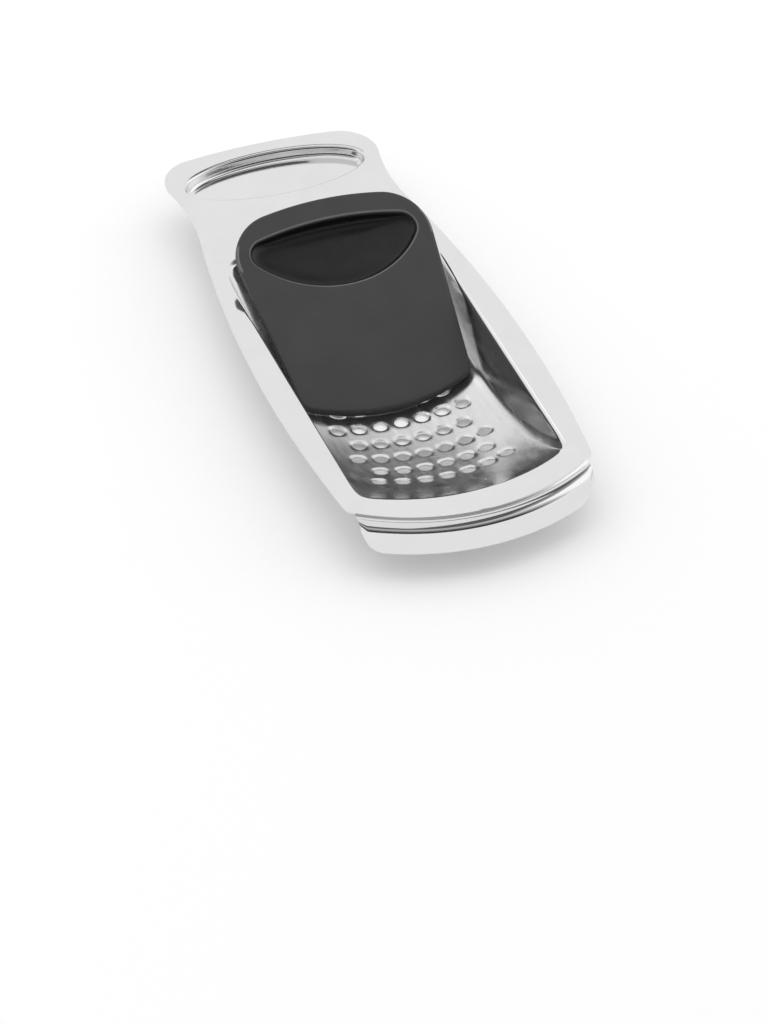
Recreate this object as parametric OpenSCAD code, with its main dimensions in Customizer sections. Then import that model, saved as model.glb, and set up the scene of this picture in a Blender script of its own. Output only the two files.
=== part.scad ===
// Spaetzle maker: a perforated tray that hooks over a round rim, and a loose scraper that wipes
// its dished floor. Millimetres. X is lateral, Y runs from the hook to the handle, Z is up.
// The origin is under the crown of the hook's bead, on the line where the hook seats: the rim line.

/* [Sheet] */
// Thickness of the pressed steel sheet
sheet_t = 0.8; // [0.6:0.1:1.2]
// Height of the flange's top above the rim line
flange_top = 2; // [1.6:0.1:3]

/* [Flange] */
// Distance from the rim line to the end of the handle
tray_len = 319; // [310:1:330]
// Width of the flange at its widest place
flange_w = 138; // [132:1:146]
// Distance of the widest place from the rim line
flange_wide_y = 116; // [100:1:130]
// Width of the waist in front of the handle
waist_w = 110; // [104:1:112]
// Distance from the waist to the end of the handle
waist_back = 50; // [46:1:54]
// Width of the handle
handle_w = 116; // [114:1:122]
// Corner radius of the handle
handle_corner_r = 20; // [16:1:24]
// Bow radius of the handle's end
handle_bow_r = 300; // [200:10:500]
// Corner radius beside the hook
flange_corner_r = 3; // [2:0.5:5]

/* [Trough] */
// Distance from the rim line to the front of the trough's mouth
mouth_front = 19; // [16:0.5:24]
// Distance from the rim line to the rear of the trough's mouth
mouth_rear = 237.5; // [220:0.5:242]
// Width of the trough's mouth
mouth_w = 108; // [100:1:112]
// Front corner radius of the mouth
mouth_front_r = 13; // [8:1:20]
// Rear corner radius of the mouth
mouth_rear_r = 22; // [14:1:28]
// Depth of the trough under the flange's top
trough_depth = 30.5; // [24:0.5:36]
// Draft of the trough's side walls, in degrees
wall_draft = 12.5; // [8:0.5:16]

/* [Perforation] */
// Diameter of a hole
hole_d = 7; // [5:0.5:8]
// Distance between holes in a row
hole_pitch = 11.1; // [10:0.1:12]
// Distance between rows along the floor
row_pitch = 15.6; // [13:0.1:17]
// Number of rows
row_count = 11; // [7:2:11]
// Holes in a full row; the rows between have one less
row_holes = 7; // [5:1:7]
// How much nearer the middle row the ends of a row lie than its centre
row_bow = 0.075; // [0:0.005:0.1]

/* [Hook] */
// Radius of the rim line, an arc that passes through the origin
rim_r = 113; // [108:1:120]
// Width of the hook
hook_w = 120; // [90:1:122]
// Distance from the rim line back to the step down from the flange
step_back = 5; // [4.5:0.5:7]
// Distance from the rim line back to the start of the bead's round
crown_back = 3; // [2:0.5:3.5]
// Outer radius of the bead's round
bead_r = 5.4; // [4:0.2:7]
// Depth of the skirt's lower edge under the rim line
skirt_drop = 13.1; // [10:0.5:20]
// Flare of the skirt, in degrees
skirt_flare = 13; // [5:1:20]
// Corner radius of the skirt
skirt_corner_r = 10; // [5:1:12]

/* [Handle recess] */
// Length of the finger recess across the handle
recess_w = 98; // [80:1:98]
// Width of the finger recess along the handle
recess_len = 36; // [24:1:36]
// Distance from the recess's middle to the end of the handle
recess_back = 27; // [26:1:32]
// Depth of the finger recess
recess_depth = 6; // [4:0.5:9]

/* [Scraper] */
// Length of the scraper from its front lip to its rear edge
scraper_len = 120; // [110:1:130]
// Thickness of the scraper along its middle
scraper_t = 6.5; // [6:0.1:9]
// Crown radius of the scraper's top
scraper_crown_r = 400; // [350:10:600]
// Gap between the scraper's side and the trough's wall at rest
side_gap = 3.2; // [2.5:0.1:5]
// Share of the wall's widening that the scraper's sides follow
side_follow = 0.88; // [0.7:0.01:0.9]
// Front corner radius of the scraper
scraper_front_r = 8; // [5:1:12]
// Rear corner radius of the scraper
scraper_rear_r = 24; // [16:1:28]
// Bow radius of the scraper's rear edge
scraper_bow_r = 220; // [160:10:400]
// Lean of the scraper to the flange at rest, in degrees
scraper_lean = 26; // [22:0.5:32]
// Place of the lip at rest, in degrees along the floor from its lowest point
lip_angle = -1.7; // [-4:0.1:4]
// Running gap between the lip and the floor
lip_gap = 0.3; // [0.2:0.05:0.6]

/* [Scraper recess] */
// Distance from the lip to the front of the finger recess
grip_front = 71; // [66:1:76]
// Radius of the recess's front edge
grip_front_r = 54; // [46:1:58]
// Distance from the recess to the scraper's rear edge
grip_back = 12; // [10:1:16]
// Corner radius of the recess
grip_corner_r = 8; // [5:1:10]
// Depth of the recess
grip_depth = 8; // [6.5:0.5:10]
// Wall of the cup around the recess
grip_wall = 2.4; // [2:0.1:3]

/* [Hidden] */
$fn = 96;
arc_step = 4; // degrees between the points of a computed arc
past = 4; // how far a cutter runs past the faces that it cuts
lap = 1; // how far the flange reaches under the hook's first stretch
overlap = 0.3; // how far a corner's circle reaches past the sphere's edge

// The dished floor is part of a sphere that meets the flange's top at both ends of the mouth.
mouth_r = (mouth_rear - mouth_front) / 2;
floor_y = (mouth_rear + mouth_front) / 2;
floor_r = (pow(mouth_r, 2) + pow(trough_depth, 2)) / (2 * trough_depth);
floor_z = flange_top - trough_depth + floor_r;
flange_under = flange_top - sheet_t;
flange_mid = flange_top - sheet_t / 2;
wall_slope = tan(wall_draft);
trough_low = flange_top - trough_depth - sheet_t - past;

// The scraper's lip is the circle in which its underside's plane cuts the floor's sphere.
lip_reach = floor_r - lip_gap;
lip_r = lip_reach * sin(scraper_lean - lip_angle);
lip_y = floor_y + lip_reach * sin(lip_angle);
lip_z = floor_z - lip_reach * cos(lip_angle);
lip_half_w = mouth_w / 2 - (flange_top - lip_z) * wall_slope - side_gap;
side_angle = atan(wall_slope * sin(scraper_lean) * side_follow);

// Points along an arc about c, the short way from the direction of p to that of q.
function arc(c, r, p, q) =
    let (a = atan2(p.y - c.y, p.x - c.x), b = atan2(q.y - c.y, q.x - c.x))
    let (turn = (b - a + 540) % 360 - 180, n = max(1, ceil(abs(turn) / arc_step)))
    [for (i = [0:n]) c + r * [cos(a + turn * i / n), sin(a + turn * i / n)]];

// The crossing of two circles that lies to the right of the line from c1 to c2.
function meet(c1, r1, c2, r2) =
    let (d = c2 - c1, l = norm(d), u = d / l, a = (l * l + r1 * r1 - r2 * r2) / (2 * l))
    c1 + a * u + sqrt(r1 * r1 - a * a) * [u.y, -u.x];

// The place along a line through p where it is r away from c: end is 1 for the far one, -1 for the near.
function reach(p, dir, c, r, end) =
    let (w = p - c, b = w * dir)
    p + dir * (-b + end * sqrt(b * b - w * w + r * r));

// The right half of an outline with its mirror image.
function both_halves(half) =
    concat(half, [for (i = [len(half) - 1:-1:0]) if (half[i].x > 0.001) [-half[i].x, half[i].y]]);

// Outline of the flange: front arc, side arc, waist, handle corner and bowed end, all tangent.
module flange_outline() {
    rim = [0, rim_r];
    front_r = rim_r - step_back - lap;
    bow = [0, tray_len - handle_bow_r];
    corner_x = handle_w / 2 - handle_corner_r;
    corner = [corner_x, bow.y + sqrt(pow(handle_bow_r - handle_corner_r, 2) - pow(corner_x, 2))];
    waist_y = tray_len - waist_back;
    in_x = waist_w / 2 - corner.x;
    in_y = corner.y - waist_y;
    waist_r = (in_x * in_x + in_y * in_y - pow(handle_corner_r, 2)) / (2 * (handle_corner_r - in_x));
    waist = [waist_w / 2 + waist_r, waist_y];
    drop = (flange_w - waist_w) / 2;
    side_r = (drop * drop + pow(waist_y - flange_wide_y, 2)) / (2 * drop) - waist_r;
    side = [flange_w / 2 - side_r, flange_wide_y];
    front = meet(side, side_r - flange_corner_r, rim, front_r - flange_corner_r);
    half = concat(
        arc(rim, front_r, [0, 0], front),
        arc(front, flange_corner_r, front + (front - rim), front + (front - side)),
        arc(side, side_r, front, waist),
        arc(waist, waist_r, side, corner),
        arc(corner, handle_corner_r, waist, corner + (corner - bow)),
        arc(bow, handle_bow_r, corner, [0, tray_len]));
    polygon(both_halves(half));
}

// Outline that squares off the trough's sides and rounds its corners, grown outwards by t.
module mouth_outline(t) {
    middle = [0, floor_y];
    front_x = mouth_w / 2 - mouth_front_r;
    rear_x = mouth_w / 2 - mouth_rear_r;
    edge_r = mouth_r + overlap;
    front = middle + [front_x, -sqrt(pow(edge_r - mouth_front_r, 2) - pow(front_x, 2))];
    rear = middle + [rear_x, sqrt(pow(edge_r - mouth_rear_r, 2) - pow(rear_x, 2))];
    half = concat(
        arc(middle, mouth_r + past, [0, 0], front),
        arc(front, mouth_front_r + t, front + (front - middle), front + [1, 0]),
        arc(rear, mouth_rear_r + t, rear + [1, 0], rear + (rear - middle)),
        arc(middle, mouth_r + past, rear, [0, tray_len]));
    polygon(both_halves(half));
}

// The trough's space grown outwards by t, up to the height top.
module trough_space(t, top) {
    deep = flange_top - trough_low;
    rise = top - flange_top;
    edge = mouth_w / 2 + t / cos(wall_draft);
    low_x = edge - deep * wall_slope;
    top_x = edge + rise * wall_slope;
    intersection() {
        translate([0, 0, trough_low]) linear_extrude(top - trough_low) mouth_outline(t);
        translate([0, tray_len, 0]) rotate([90, 0, 0]) linear_extrude(tray_len)
            polygon([[-low_x, trough_low], [low_x, trough_low], [top_x, top], [-top_x, top]]);
        translate([0, floor_y, floor_z]) sphere(r = floor_r + t, $fn = 180);
    }
}

// The holes of the floor, square to it, in rows that bow with the ends of the mouth.
module perforation() {
    half_row = (row_holes - 1) / 2 * hole_pitch;
    for (row = [0:row_count - 1]) {
        count = row_holes - row % 2;
        from_middle = (row - (row_count - 1) / 2) * row_pitch;
        for (i = [0:count - 1]) {
            x = (i - (count - 1) / 2) * hole_pitch;
            along = from_middle * (1 - row_bow * pow(x / half_row, 2));
            translate([0, floor_y, floor_z])
                rotate([along / floor_r * 180 / PI, 0, 0])
                rotate([0, -x / floor_r * 180 / PI, 0])
                translate([0, 0, -floor_r - past])
                cylinder(d = hole_d, h = 2 * past, $fn = 24);
        }
    }
}

// Section of the hook, as radius from the rim arc's centre against height.
module hook_section() {
    step_r = rim_r - step_back;
    crown_r = rim_r - crown_back;
    start_r = step_r - 2 * lap;
    level = 0.8;
    polygon([
        [start_r, flange_top], [step_r, flange_top], [crown_r - level, sheet_t], [crown_r, sheet_t],
        [crown_r, 0], [crown_r - level, 0], [step_r - level / 2, flange_under], [start_r, flange_under]]);
    centre = [crown_r, sheet_t - bead_r];
    translate(centre) intersection() {
        difference() {
            circle(r = bead_r);
            circle(r = bead_r - sheet_t);
        }
        square(bead_r + past);
    }
    fall = skirt_drop + past + centre.y;
    out = fall * tan(skirt_flare);
    skirt_x = centre.x + bead_r;
    polygon([
        [skirt_x - sheet_t, centre.y], [skirt_x, centre.y],
        [skirt_x + out, centre.y - fall], [skirt_x + out - sheet_t, centre.y - fall]]);
}

// The front view of the hook: square to its sides, with round lower corners.
module hook_front() {
    corner = [hook_w / 2 - skirt_corner_r, skirt_corner_r - skirt_drop];
    half = concat(
        [[0, -skirt_drop]],
        arc(corner, skirt_corner_r, corner + [0, -1], corner + [1, 0]),
        [[hook_w / 2, flange_top + past], [0, flange_top + past]]);
    polygon(both_halves(half));
}

// The hook: its section turned about the middle of the rim line's arc, and cut to its front view.
module hook() {
    intersection() {
        translate([0, rim_r, 0]) rotate_extrude($fn = 180) hook_section();
        translate([0, rim_r / 2, 0]) rotate([90, 0, 0]) linear_extrude(rim_r) hook_front();
    }
}

// The finger recess of the handle as an oval, grown outwards by t.
module handle_recess(t, low, top) {
    a = recess_w / 2 + t;
    b = recess_len / 2 + t;
    translate([0, tray_len - recess_back, low]) linear_extrude(top - low)
        polygon([for (turn = [0:arc_step:359]) [a * cos(turn), b * sin(turn)]]);
}

// The tray as one sheet: flange, trough, recess and hook are joined, then their spaces and holes cut.
module perforated_tray() {
    recess_floor = flange_top - recess_depth;
    color([0.80, 0.80, 0.81]) difference() {
        union() {
            translate([0, 0, flange_under]) linear_extrude(sheet_t) flange_outline();
            trough_space(sheet_t, flange_mid);
            handle_recess(sheet_t, recess_floor - sheet_t, flange_mid);
            hook();
        }
        trough_space(0, flange_top + past);
        handle_recess(0, recess_floor, flange_top + past);
        perforation();
    }
}

// Outline of the scraper: lip, corners, sides that widen to the rear, and bowed rear edge.
module scraper_outline() {
    middle = [0, lip_r];
    bow = [0, scraper_len - scraper_bow_r];
    side = [lip_half_w, 0];
    along = [sin(side_angle), cos(side_angle)];
    inward = [-along.y, along.x];
    front = reach(side + inward * scraper_front_r, along, middle, lip_r - scraper_front_r, -1);
    rear = reach(side + inward * scraper_rear_r, along, bow, scraper_bow_r - scraper_rear_r, 1);
    half = concat(
        arc(middle, lip_r, [0, 0], front),
        arc(front, scraper_front_r, front + (front - middle), front - inward),
        arc(rear, scraper_rear_r, rear - inward, rear + (rear - bow)),
        arc(bow, scraper_bow_r, rear, [0, scraper_len]));
    polygon(both_halves(half));
}

// Outline of the half-moon finger recess, grown outwards by t.
module grip_outline(t) {
    middle = [0, grip_front + grip_front_r];
    bow_r = scraper_bow_r - grip_back;
    bow = [0, scraper_len - scraper_bow_r];
    corner = meet(bow, bow_r - grip_corner_r, middle, grip_front_r - grip_corner_r);
    half = concat(
        arc(middle, grip_front_r + t, [0, 0], corner),
        arc(corner, grip_corner_r + t, corner + (corner - middle), corner + (corner - bow)),
        arc(bow, bow_r + t, corner, [0, scraper_len]));
    polygon(both_halves(half));
}

// The scraper: a flat plate with a crowned top and a cup for its recess, leaned back about its lip.
module dough_scraper() {
    grip_floor = scraper_t - grip_depth;
    color([0.27, 0.27, 0.28])
        translate([0, lip_y, lip_z]) rotate([scraper_lean, 0, 0])
        difference() {
            union() {
                intersection() {
                    linear_extrude(scraper_t + past) scraper_outline();
                    translate([0, -past, scraper_t - scraper_crown_r]) rotate([-90, 0, 0])
                        cylinder(r = scraper_crown_r, h = scraper_len + 2 * past, $fn = 180);
                }
                translate([0, 0, grip_floor - grip_wall])
                    linear_extrude(scraper_t / 2 - grip_floor + grip_wall) grip_outline(grip_wall);
            }
            translate([0, 0, grip_floor]) linear_extrude(scraper_t + past - grip_floor) grip_outline(0);
        }
}

perforated_tray();
dough_scraper();
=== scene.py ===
# %% [markdown]
# A spaetzle maker. The real object is two pieces: a polished steel tray that is pressed from one
# sheet, and a matt plastic scraper whose lip is wiped to and fro over the tray's holes.
# Both could be built from boxes and booleans, but pressed sheet has no box in it: it is a surface
# that was stretched over a tool. So each piece here is worked out as a surface on a grid.

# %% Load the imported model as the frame
import math

import bmesh
import bpy
import numpy as np
from mathutils import Matrix, Vector


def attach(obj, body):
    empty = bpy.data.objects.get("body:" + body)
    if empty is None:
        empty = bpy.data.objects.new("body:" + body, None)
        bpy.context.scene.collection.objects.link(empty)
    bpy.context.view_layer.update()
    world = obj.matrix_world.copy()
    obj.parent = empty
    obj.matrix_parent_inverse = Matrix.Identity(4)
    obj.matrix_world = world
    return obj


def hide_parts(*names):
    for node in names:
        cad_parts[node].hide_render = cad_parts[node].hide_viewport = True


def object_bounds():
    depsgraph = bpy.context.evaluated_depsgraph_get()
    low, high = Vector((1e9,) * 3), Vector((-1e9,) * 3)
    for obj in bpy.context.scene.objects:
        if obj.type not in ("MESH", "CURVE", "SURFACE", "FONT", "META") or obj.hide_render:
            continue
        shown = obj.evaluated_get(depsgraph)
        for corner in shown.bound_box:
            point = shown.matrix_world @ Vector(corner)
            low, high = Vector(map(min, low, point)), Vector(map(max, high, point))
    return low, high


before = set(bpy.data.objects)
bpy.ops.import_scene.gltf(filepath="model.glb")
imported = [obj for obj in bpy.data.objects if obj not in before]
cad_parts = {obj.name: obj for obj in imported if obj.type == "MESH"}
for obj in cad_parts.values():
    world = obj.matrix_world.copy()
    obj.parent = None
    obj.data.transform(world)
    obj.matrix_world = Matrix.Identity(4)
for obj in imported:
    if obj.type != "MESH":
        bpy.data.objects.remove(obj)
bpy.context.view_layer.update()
print("CAD nodes:", sorted(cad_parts))

# %% [markdown]
# The camera comes first, so that every test render can be laid beside the photograph. Its place
# was found by fitting level circles, whose sizes are estimates, to the picture. A long lens far
# away keeps the mild perspective of a product photograph.

# %% Set the camera at the photograph's viewing angle
MM = 0.001
PHOTO_HEIGHT = 1024
FOCAL_PX = 4500
AXIS_DROP_PX = 128
CAMERA_AT = Vector((-0.673, -1.479, 1.375))
VIEW_FORWARD = Vector((0.3006, 0.7215, -0.6237)).normalized()
VIEW_RIGHT = Vector((0.9304, -0.3656, 0.0256)).normalized()


def new_object(name, data):
    """An object at the origin, linked to the scene."""
    thing = bpy.data.objects.new(name, data)
    bpy.context.collection.objects.link(thing)
    return thing


def place_camera():
    """Looks along the fitted axis, tipped down by an angle of tangent AXIS_DROP_PX / FOCAL_PX."""
    tip = Matrix.Rotation(-math.atan2(AXIS_DROP_PX, FOCAL_PX), 3, VIEW_RIGHT)
    forward = (tip @ VIEW_FORWARD).normalized()
    up = VIEW_RIGHT.cross(forward).normalized()
    right = forward.cross(up)
    camera = new_object("camera", bpy.data.cameras.new("camera"))
    camera.data.lens = FOCAL_PX * camera.data.sensor_width / PHOTO_HEIGHT
    turn = Matrix((right, up, -forward)).transposed().to_4x4()
    camera.matrix_world = Matrix.Translation(CAMERA_AT) @ turn
    bpy.context.scene.camera = camera
    return camera


camera = place_camera()
print("lens mm:", round(camera.data.lens, 1))

# %% [markdown]
# These are the sizes that shape both pieces. The trough's floor is dished: it is part of a large
# sphere, so its radius and centre follow from how long and how deep the trough is.

# %% The tray's driving sizes, in metres
SHEET = 0.8 * MM
FLANGE_TOP = 2 * MM
MOUTH_FRONT, MOUTH_REAR = 19 * MM, 237.5 * MM
MOUTH_W = 108 * MM
TROUGH_DEPTH = 30.5 * MM
WALL_DRAFT = math.radians(12.5)

mouth_r = (MOUTH_REAR - MOUTH_FRONT) / 2
floor_y = (MOUTH_REAR + MOUTH_FRONT) / 2
floor_r = (mouth_r**2 + TROUGH_DEPTH**2) / (2 * TROUGH_DEPTH)
floor_z = FLANGE_TOP - TROUGH_DEPTH + floor_r
print("floor radius mm:", round(floor_r / MM, 1), "centre height mm:", round(floor_z / MM, 1))

# %% [markdown]
# A grid of points becomes quads, grids are joined into one list of points and faces, and points
# that lie on each other are welded. These three steps serve every piece, so they come once.

# %% Grids to faces, and faces to a welded mesh
WELD = 1e-6


def grid_faces(rows, cols, closed=False):
    """Each quad joins point (r, c) to its right, upper right and upper neighbours."""
    r, c = np.meshgrid(np.arange(rows - 1), np.arange(cols if closed else cols - 1), indexing="ij")
    right = (c + 1) % cols
    quads = np.stack([r * cols + c, r * cols + right, (r + 1) * cols + right, (r + 1) * cols + c], -1)
    return quads.reshape(-1, 4)


def join_blocks(blocks):
    """Adds each block's first index to its faces, so that many grids share one list of points."""
    starts = np.cumsum([0] + [len(points) for points, _ in blocks])
    points = np.concatenate([points for points, _ in blocks])
    faces = [face + start for (_, faces), start in zip(blocks, starts) for face in faces]
    return points, faces


def grid_block(grid, closed=False):
    """A (rows, columns, 3) array as a list of points and quads."""
    return grid.reshape(-1, 3), list(grid_faces(grid.shape[0], grid.shape[1], closed))


def fan_block(ring, centre):
    """Triangles from a closed ring of points to one point in its middle."""
    n = len(ring)
    i = np.arange(n)
    return np.vstack([ring, centre]), list(np.stack([i, (i + 1) % n, np.full(n, n)], -1))


def edit_mesh(mesh, change):
    """Opens a mesh for editing, makes one change and writes the result back."""
    shell = bmesh.new()
    shell.from_mesh(mesh)
    change(shell)
    shell.to_mesh(mesh)
    shell.free()


def weld(shell):
    """Merges points closer than WELD, and takes out the faces that this leaves without area."""
    bmesh.ops.remove_doubles(shell, verts=shell.verts, dist=WELD)
    bmesh.ops.dissolve_degenerate(shell, edges=shell.edges, dist=WELD)


def welded_mesh(name, blocks):
    """A new mesh of all the blocks."""
    points, faces = join_blocks(blocks)
    mesh = bpy.data.meshes.new(name)
    mesh.from_pydata(points.tolist(), [], [face.tolist() for face in faces])
    edit_mesh(mesh, weld)
    return mesh


def smoothstep(t):
    """Rises from 0 to 1 as t does, level at both ends: 3t squared less 2t cubed."""
    t = np.clip(t, 0, 1)
    return t * t * (3 - 2 * t)


def between(a, b, share):
    """The place that is a share of the way from a to b."""
    return a + (b - a) * share


def unit(vectors):
    """Vectors divided by their lengths."""
    return vectors / np.linalg.norm(vectors, axis=-1, keepdims=True)


print("quads in a 3 by 4 grid:", len(grid_faces(3, 4)))

# %% [markdown]
# The trough. Each level line of the dish is a circle, squeezed by two drafted side walls. A plain
# cut between them would leave a sharp crease, so the two are blended by a power sum: the higher
# the power, the tighter the corner. One formula then gives the floor, walls and all the fillets.

# %% The height of the trough at any place in plan
FLOOR_POWER, FRONT_POWER, REAR_POWER = 20, 36, 22
HALVINGS = 44
TINY = 1e-12


def squeeze(x, y, z):
    """(|x| / half width)^p + (distance / level circle)^p - 1, which is 0 on the trough's surface."""
    away = np.hypot(x, y - floor_y)
    circle = np.sqrt(np.maximum(floor_r**2 - (floor_z - z) ** 2, TINY))
    half_width = MOUTH_W / 2 - (FLANGE_TOP - z) * math.tan(WALL_DRAFT)
    rear = 0.5 + 0.5 * (y - floor_y) / np.maximum(away, TINY)
    top_power = between(FRONT_POWER, REAR_POWER, smoothstep(rear))
    level = np.clip((z - FLANGE_TOP + TROUGH_DEPTH) / TROUGH_DEPTH, 0, 1)
    power = between(FLOOR_POWER, top_power, level)
    return (np.abs(x) / half_width) ** power + (away / circle) ** power - 1


def halved(outer, inner, value):
    """Halves the span between two places until value is 0 there, and gives the inner end."""
    with np.errstate(over="ignore"):
        for _ in range(HALVINGS):
            middle = (outer + inner) / 2
            outside = value(middle) > 0
            outer = np.where(outside, middle, outer)
            inner = np.where(outside, inner, middle)
    return inner


def trough_height(x, y):
    """The height, between the lowest point and the flange, at which squeeze is 0."""
    low, high = [np.full(np.shape(x), z) for z in (FLANGE_TOP - TROUGH_DEPTH, FLANGE_TOP)]
    return halved(low, high, lambda z: squeeze(x, y, z))


print("lowest point mm:", np.round(trough_height(np.array(0.0), np.array(floor_y)) / MM, 2))

# %% [markdown]
# The holes. Cutting 72 holes with booleans would leave long thin faces that spoil reflections.
# Instead the perforated patch is made of cells, one round each hole, whose inner ring is the
# hole's circle and whose outer ring is the cell's border. Every other row is shifted by half a
# cell. The rows bow with the ends of the trough, and the sheet dips a little at each hole, as it
# does when a punch goes through. No dip goes under the lowest place, on which the tray stands.

# %% The perforated patch as cells round the holes
HOLE_R = 3.5 * MM
HOLE_PITCH, ROW_PITCH = 11.1 * MM, 15.6 * MM
ROWS, ROW_HOLES = 11, 7
ROW_BOW = 0.075
CELL_X, CELL_Y = 4, 8
CIRCLE_START = -math.pi / 3
DIP, DIP_REACH = 0.35 * MM, 1.7 * MM
RING_SHARES = (0, 0.05, 0.13, 0.24, 0.38, 0.6, 1)
half_row = (ROW_HOLES - 1) / 2 * HOLE_PITCH
patch_x = ROW_HOLES * HOLE_PITCH / 2
patch_s = ROWS * ROW_PITCH / 2


def bowed(x, s):
    """Draws a row's ends nearer to the middle row, with the square of the distance sideways."""
    return s * (1 - ROW_BOW * (x / half_row) ** 2)


def on_sphere(x, s):
    """Plan place of a point x across and s along the dished floor from its lowest point."""
    across, along = x / floor_r, s / floor_r
    return floor_r * np.sin(across), floor_y + floor_r * np.cos(across) * np.sin(along)


def lifted(x, s, dip=0):
    """The surface point over a floor place, lowered by dip but never under the lowest point."""
    plan_x, plan_y = on_sphere(x, s)
    height = trough_height(plan_x, plan_y)
    spare = height - (FLANGE_TOP - TROUGH_DEPTH)
    return np.stack([plan_x, plan_y, height - np.minimum(dip, spare)], -1)


def cell_border():
    """A cell's border from its lower right corner anticlockwise, as shares of its half sizes."""
    up = np.linspace(-1, 1, CELL_Y + 1)[:-1]
    along = np.linspace(1, -1, CELL_X + 1)[:-1]
    x = np.concatenate([np.ones(CELL_Y), along, -np.ones(CELL_Y), -along])
    s = np.concatenate([up, np.ones(CELL_X), -up, -np.ones(CELL_X)])
    return x, s


def hole_cell(x0, s0):
    """Rings from the hole's circle to the cell's border, with the dip fading outwards."""
    side_x, side_s = cell_border()
    border_x = x0 + side_x * HOLE_PITCH / 2
    border_s = bowed(border_x, s0 + side_s * ROW_PITCH / 2)
    turn = CIRCLE_START + np.arange(len(side_x)) * 2 * math.pi / len(side_x)
    circle_x = x0 + HOLE_R * np.cos(turn)
    circle_s = bowed(x0, s0) + HOLE_R * np.sin(turn)
    share = np.array(RING_SHARES)[:, None]
    x, s = between(circle_x, border_x, share), between(circle_s, border_s, share)
    from_edge = np.hypot(x - x0, s - bowed(x0, s0)) - HOLE_R
    return lifted(x, s, DIP * smoothstep(1 - from_edge / DIP_REACH))


def filler_cell(x0, s0):
    """The plain half cell at the end of a short row."""
    x = x0 + np.linspace(-1, 1, CELL_X // 2 + 1) * HOLE_PITCH / 4
    s = s0 + np.linspace(-1, 1, CELL_Y + 1)[:, None] * ROW_PITCH / 2
    x, s = np.broadcast_arrays(x, s)
    return lifted(x, bowed(x, s))


patch_blocks = []
hole_count = 0
for row in range(ROWS):
    count = ROW_HOLES - row % 2
    s_row = (row - (ROWS - 1) / 2) * ROW_PITCH
    for i in range(count):
        x_hole = (i - (count - 1) / 2) * HOLE_PITCH
        patch_blocks.append(grid_block(hole_cell(x_hole, s_row), closed=True))
        hole_count += 1
    if row % 2:
        for end in (-1, 1):
            patch_blocks.append(grid_block(filler_cell(end * (patch_x - HOLE_PITCH / 4), s_row)))
print("holes:", hole_count, "cells:", len(patch_blocks))

# %% [markdown]
# Round the patch, the sheet runs up the walls to the flange. Lines go from each point of the
# patch's border to a matching point of the mouth and on to the flange's outer edge. Points are
# spread evenly by length along each line, so the steep walls get as many as they need.

# %% Outlines as chains of arcs, and points shared out along them
ARC_STEP = math.radians(1)
CHAIN_SAMPLES = 4000


def arc(centre, radius, start, end):
    """Points on a circle, the short way from the direction of start to that of end."""
    centre = np.array(centre)
    a, b = [math.atan2(*(np.array(p) - centre)[::-1]) for p in (start, end)]
    turn = (b - a + 3 * math.pi) % (2 * math.pi) - math.pi
    angles = a + turn * np.linspace(0, 1, max(2, math.ceil(abs(turn) / ARC_STEP) + 1))
    return centre + radius * np.stack([np.cos(angles), np.sin(angles)], -1)


def meeting(c1, r1, c2, r2):
    """The crossing of two circles that lies to the right of the line from c1 to c2."""
    c1, d = np.array(c1), np.array(c2) - np.array(c1)
    gap = np.hypot(*d)
    along = (gap**2 + r1**2 - r2**2) / (2 * gap)
    return c1 + along * d / gap + math.sqrt(r1**2 - along**2) * np.array([d[1], -d[0]]) / gap


def lengths(points):
    """Distance run along a chain of points, from 0 at its start."""
    steps = np.linalg.norm(np.diff(points, axis=0), axis=-1)
    return np.concatenate([[0], np.cumsum(steps)])


def at_distances(points, at):
    """The places at the given distances run along a chain."""
    run = lengths(points)
    return np.stack([np.interp(at, run, axis) for axis in points.T], -1)


def shared_out(points, count):
    """count + 1 points at equal distances along a chain."""
    return at_distances(points, np.linspace(0, lengths(points)[-1], count + 1))


def part_of(points, low, high):
    """The stretch of a chain between two distances run along it."""
    run = lengths(points)
    ends = at_distances(points, (low, high))
    inside = points[(run > low + WELD) & (run < high - WELD)]
    return np.vstack([ends[:1], inside, ends[1:]])


def run_to(points, place):
    """Distance run along a chain to its point nearest to place."""
    dense = shared_out(points, CHAIN_SAMPLES)
    nearest = np.argmin(np.hypot(*(dense - np.array(place)).T))
    return lengths(points)[-1] * nearest / CHAIN_SAMPLES


print("quarter arc points:", len(arc((0, 0), 1, (1, 0), (0, 1))))

# %% [markdown]
# The mouth and the flange are both mirror images about the tray's middle line, so only the right
# half of each outline is worked out. The corners of the mouth come from the power sum. The
# flange's edge is a chain of arcs, each tangent to the next, as a die maker would draw it.

# %% The right halves of the mouth, the flange's edge and the handle's edge
RIM_R = 113 * MM
FLANGE_FRONT_R = RIM_R - 5 * MM
HOOK_W = 120 * MM
FLANGE_W, FLANGE_WIDE_Y = 138 * MM, 116 * MM
WAIST_W, WAIST_Y = 110 * MM, 269 * MM
TRAY_END = 319 * MM
HANDLE_W, HANDLE_CORNER_R, HANDLE_BOW_R = 116 * MM, 20 * MM, 300 * MM
FLANGE_CORNER_R = 3 * MM
COLLAR_Y = 250 * MM
MOUTH_POINTS = 1500
RAY_REACH = 1.2


def on_ray(away, turn):
    """Plan place at a distance from the trough's middle in the direction of an angle."""
    return away * np.cos(turn), floor_y + away * np.sin(turn)


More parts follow.
